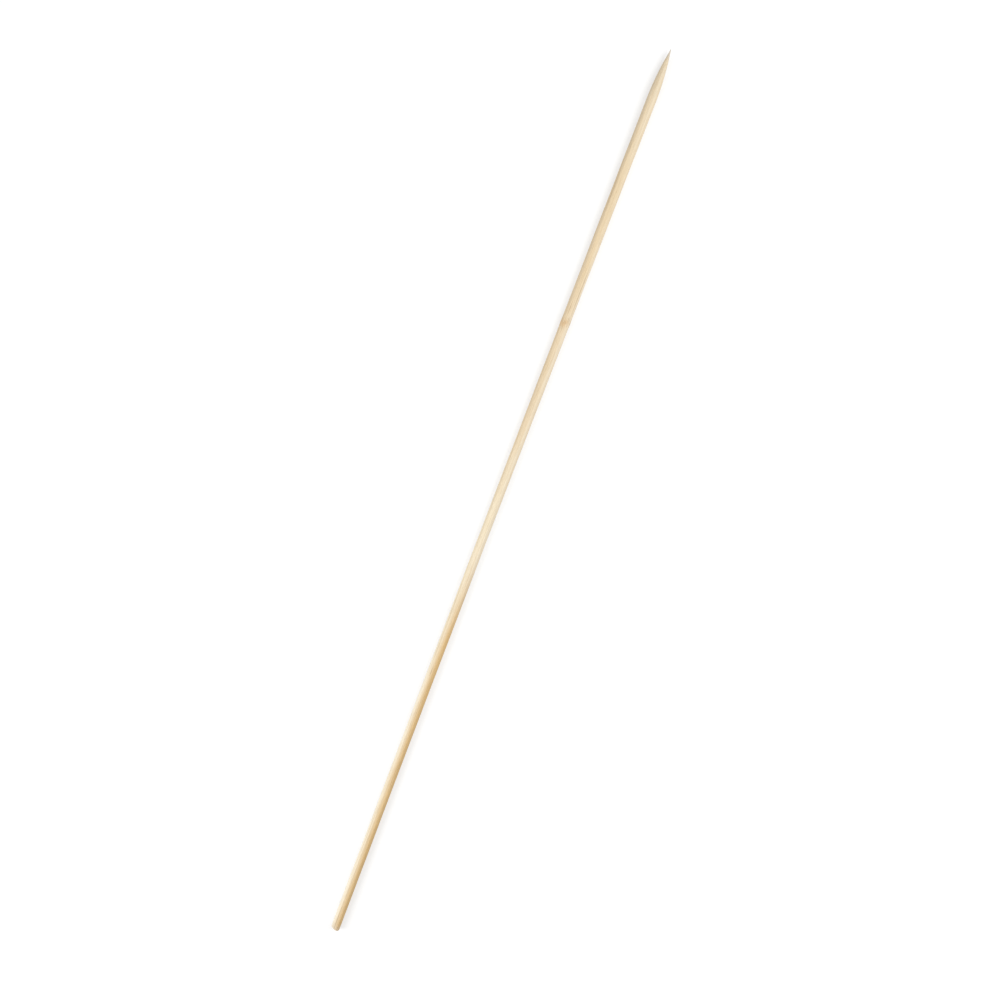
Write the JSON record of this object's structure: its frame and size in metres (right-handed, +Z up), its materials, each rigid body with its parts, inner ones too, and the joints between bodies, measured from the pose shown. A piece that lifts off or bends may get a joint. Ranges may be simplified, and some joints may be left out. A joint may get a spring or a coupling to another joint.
{
  "type": "bamboo skewer",
  "caption": "Long slender round bamboo skewer with two planed flats, a fine ground point at one end and a square cut at the other, for grilled and party food.",
  "frame": {"origin": "centre of the stick's bounding box, on the surface that its lower planed face lies on", "axes": "+X along the stick towards its point, +Z up out of the surface, +Y to the side that the stick bows towards"},
  "size_m": [0.305, 0.0034, 0.0028],
  "materials": {
    "bamboo": "matt dry bamboo, neither stained nor varnished"
  },
  "bodies": {
    "root": {"skewer": "bamboo"}
  },
  "joints": []
}
